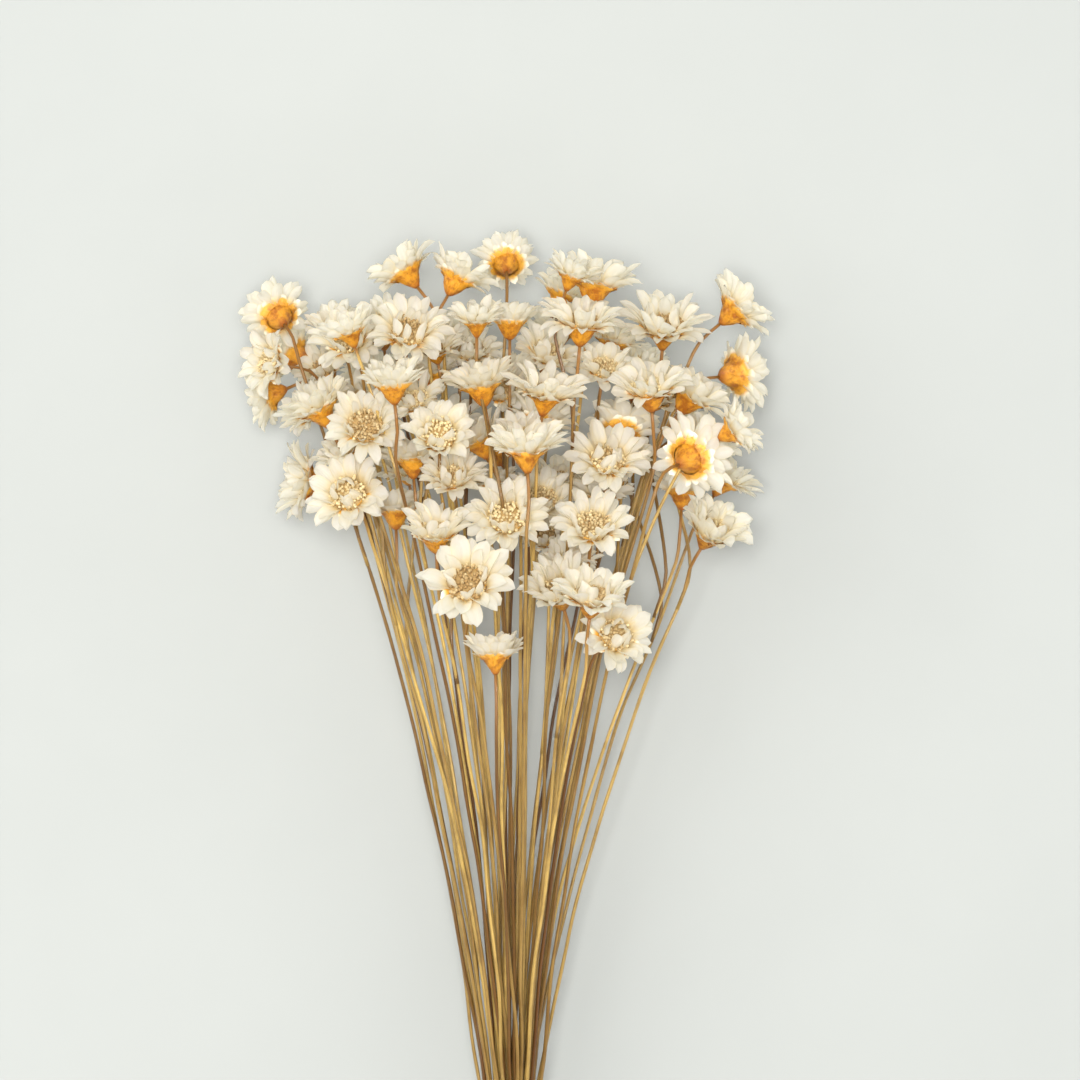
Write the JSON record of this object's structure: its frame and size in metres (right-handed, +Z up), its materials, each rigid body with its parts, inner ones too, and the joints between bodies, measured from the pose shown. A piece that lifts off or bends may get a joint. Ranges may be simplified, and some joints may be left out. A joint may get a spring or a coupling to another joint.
{
  "type": "dried flower bunch",
  "caption": "Bunch of dried star flowers on thin leafless stems, with papery ivory bracts and golden calyxes, held by an elastic band and lying on a surface.",
  "frame": {"origin": "on the surface that the bunch lies on, under the centre of its bounding box", "axes": "+Y along the bunch from the cut ends to the blooms, +Z up from the surface, +X to the right when the bunch is seen from above with its blooms at the far end"},
  "size_m": [0.1322, 0.3312, 0.0874],
  "materials": {
    "dried_flower": "papery ivory bracts with a dry silky sheen, matte golden to rust calyx, straw stem",
    "band_rubber": "natural rubber, satin, slightly dusty"
  },
  "bodies": {
    "root": {"flower_01": "dried_flower", "flower_02": "dried_flower", "flower_03": "dried_flower", "flower_04": "dried_flower", "flower_05": "dried_flower", "flower_06": "dried_flower", "flower_07": "dried_flower", "flower_08": "dried_flower", "flower_09": "dried_flower", "flower_10": "dried_flower", "flower_11": "dried_flower", "flower_12": "dried_flower", "flower_13": "dried_flower", "flower_14": "dried_flower", "flower_15": "dried_flower", "flower_16": "dried_flower", "flower_17": "dried_flower", "flower_18": "dried_flower", "flower_19": "dried_flower", "flower_20": "dried_flower", "flower_21": "dried_flower", "flower_22": "dried_flower", "flower_23": "dried_flower", "flower_24": "dried_flower", "flower_25": "dried_flower", "flower_26": "dried_flower", "flower_27": "dried_flower", "flower_28": "dried_flower", "flower_29": "dried_flower", "flower_30": "dried_flower", "flower_31": "dried_flower", "flower_32": "dried_flower", "flower_33": "dried_flower", "flower_34": "dried_flower", "flower_35": "dried_flower", "flower_36": "dried_flower", "flower_37": "dried_flower", "flower_38": "dried_flower", "flower_39": "dried_flower", "flower_40": "dried_flower", "flower_41": "dried_flower", "flower_42": "dried_flower", "flower_43": "dried_flower", "flower_44": "dried_flower", "flower_45": "dried_flower", "flower_46": "dried_flower", "flower_47": "dried_flower", "flower_48": "dried_flower", "flower_49": "dried_flower", "flower_50": "dried_flower", "flower_51": "dried_flower", "flower_52": "dried_flower", "flower_53": "dried_flower", "flower_54": "dried_flower", "flower_55": "dried_flower", "flower_56": "dried_flower", "flower_57": "dried_flower", "flower_58": "dried_flower", "flower_59": "dried_flower", "elastic_band": "band_rubber"}
  },
  "joints": []
}
